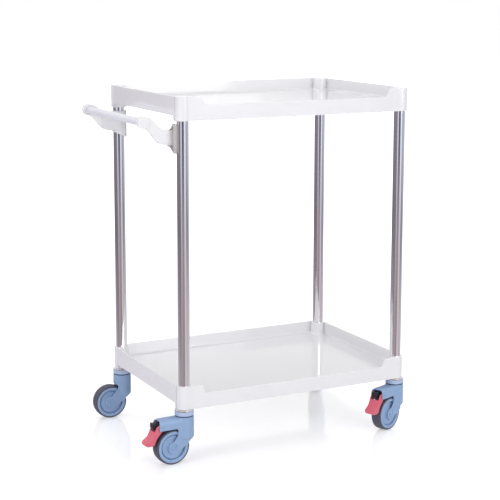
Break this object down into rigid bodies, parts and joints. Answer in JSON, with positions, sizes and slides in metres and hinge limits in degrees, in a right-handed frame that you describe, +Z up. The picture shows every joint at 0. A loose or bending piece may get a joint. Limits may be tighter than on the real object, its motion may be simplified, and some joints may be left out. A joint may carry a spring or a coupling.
{
  "type": "two-shelf medical cart",
  "caption": "Ward cart with moulded upper and lower trays on tubular steel posts, a push handle at one end and swivel casters, the front ones with brake pedals.",
  "frame": {"origin": "on the floor, under the middle of the cart's box", "axes": "+X along the cart, away from the push handle; +Y from the lowered front rims to the back; +Z up"},
  "size_m": [0.768, 0.5016, 0.93],
  "materials": {
    "white_abs": "smooth gloss moulding",
    "stainless_tube": "polished tube",
    "blue_nylon": "satin moulding",
    "grey_rubber": "smooth tread",
    "red_nylon": "satin moulding",
    "black_nylon": "satin moulding",
    "zinc_steel": "zinc plated",
    "pale_pad": "soft pad",
    "grip_plastic": "smooth gloss tube"
  },
  "bodies": {
    "frame": {"top_tray": "white_abs", "lower_tray": "white_abs", "post_front_left": "stainless_tube", "post_front_right": "stainless_tube", "post_rear_left": "stainless_tube", "post_rear_right": "stainless_tube", "post_plug_front_left": "black_nylon", "post_plug_front_right": "black_nylon", "post_plug_rear_left": "black_nylon", "post_plug_rear_right": "black_nylon", "post_insert_front_left": "black_nylon", "post_insert_front_right": "black_nylon", "post_insert_rear_left": "black_nylon", "post_insert_rear_right": "black_nylon", "caster_collar_front_left": "blue_nylon", "caster_collar_front_right": "blue_nylon", "caster_collar_rear_left": "blue_nylon", "caster_collar_rear_right": "blue_nylon", "kingpin_front_left": "zinc_steel", "kingpin_front_right": "zinc_steel", "kingpin_rear_left": "zinc_steel", "kingpin_rear_right": "zinc_steel", "handle_grip": "grip_plastic", "handle_bracket_front": "white_abs", "handle_bracket_rear": "white_abs", "bracket_screw_front": "zinc_steel", "bracket_screw_rear": "zinc_steel", "saddle_pad_front": "pale_pad", "saddle_pad_rear": "pale_pad", "grip_ring_front": "white_abs", "grip_ring_rear": "white_abs"},
    "swivel_front_left": {"fork_front_left": "blue_nylon", "swivel_bearing_front_left": "zinc_steel", "axle_front_left": "zinc_steel", "brake_pin_front_left": "zinc_steel"},
    "swivel_front_right": {"fork_front_right": "blue_nylon", "swivel_bearing_front_right": "zinc_steel", "axle_front_right": "zinc_steel", "brake_pin_front_right": "zinc_steel"},
    "swivel_rear_left": {"fork_rear_left": "blue_nylon", "swivel_bearing_rear_left": "zinc_steel", "axle_rear_left": "zinc_steel"},
    "swivel_rear_right": {"fork_rear_right": "blue_nylon", "swivel_bearing_rear_right": "zinc_steel", "axle_rear_right": "zinc_steel"},
    "wheel_front_left": {"wheel_rim_front_left": "blue_nylon", "tyre_front_left": "grey_rubber"},
    "wheel_front_right": {"wheel_rim_front_right": "blue_nylon", "tyre_front_right": "grey_rubber"},
    "wheel_rear_left": {"wheel_rim_rear_left": "blue_nylon", "tyre_rear_left": "grey_rubber"},
    "wheel_rear_right": {"wheel_rim_rear_right": "blue_nylon", "tyre_rear_right": "grey_rubber"},
    "brake_front_left": {"brake_pedal_front_left": "red_nylon", "brake_cam_front_left": "black_nylon"},
    "brake_front_right": {"brake_pedal_front_right": "red_nylon", "brake_cam_front_right": "black_nylon"}
  },
  "joints": [
    {"name": "front_left_swivel", "type": "hinge", "parent": "frame", "child": "swivel_front_left", "pos_m": [-0.27245, -0.19651, 0.1], "axis": [0, 0, 1], "continuous": true},
    {"name": "front_right_swivel", "type": "hinge", "parent": "frame", "child": "swivel_front_right", "pos_m": [0.35955, -0.19651, 0.1], "axis": [0, 0, 1], "continuous": true},
    {"name": "rear_left_swivel", "type": "hinge", "parent": "frame", "child": "swivel_rear_left", "pos_m": [-0.27245, 0.22649, 0.1], "axis": [0, 0, 1], "continuous": true},
    {"name": "rear_right_swivel", "type": "hinge", "parent": "frame", "child": "swivel_rear_right", "pos_m": [0.35955, 0.22649, 0.1], "axis": [0, 0, 1], "continuous": true},
    {"name": "front_left_wheel_spin", "type": "hinge", "parent": "swivel_front_left", "child": "wheel_front_left", "pos_m": [-0.31041, -0.19823, 0.046], "axis": [-0.0454, 0.999, 0], "continuous": true},
    {"name": "front_right_wheel_spin", "type": "hinge", "parent": "swivel_front_right", "child": "wheel_front_right", "pos_m": [0.32407, -0.21013, 0.046], "axis": [-0.3584, 0.9336, 0], "continuous": true},
    {"name": "rear_left_wheel_spin", "type": "hinge", "parent": "swivel_rear_left", "child": "wheel_rear_left", "pos_m": [-0.31044, 0.22729, 0.046], "axis": [0.0209, 0.9998, 0], "continuous": true},
    {"name": "rear_right_wheel_spin", "type": "hinge", "parent": "swivel_rear_right", "child": "wheel_rear_right", "pos_m": [0.33615, 0.19655, 0.046], "axis": [-0.788, 0.6157, 0], "continuous": true},
    {"name": "front_left_brake", "type": "hinge", "parent": "swivel_front_left", "child": "brake_front_left", "pos_m": [-0.34238, -0.19968, 0.1035], "axis": [-0.0454, 0.999, 0], "range_deg": [0, 18]},
    {"name": "front_right_brake", "type": "hinge", "parent": "swivel_front_right", "child": "brake_front_right", "pos_m": [0.2942, -0.22159, 0.1035], "axis": [-0.3584, 0.9336, 0], "range_deg": [0, 18]}
  ]
}
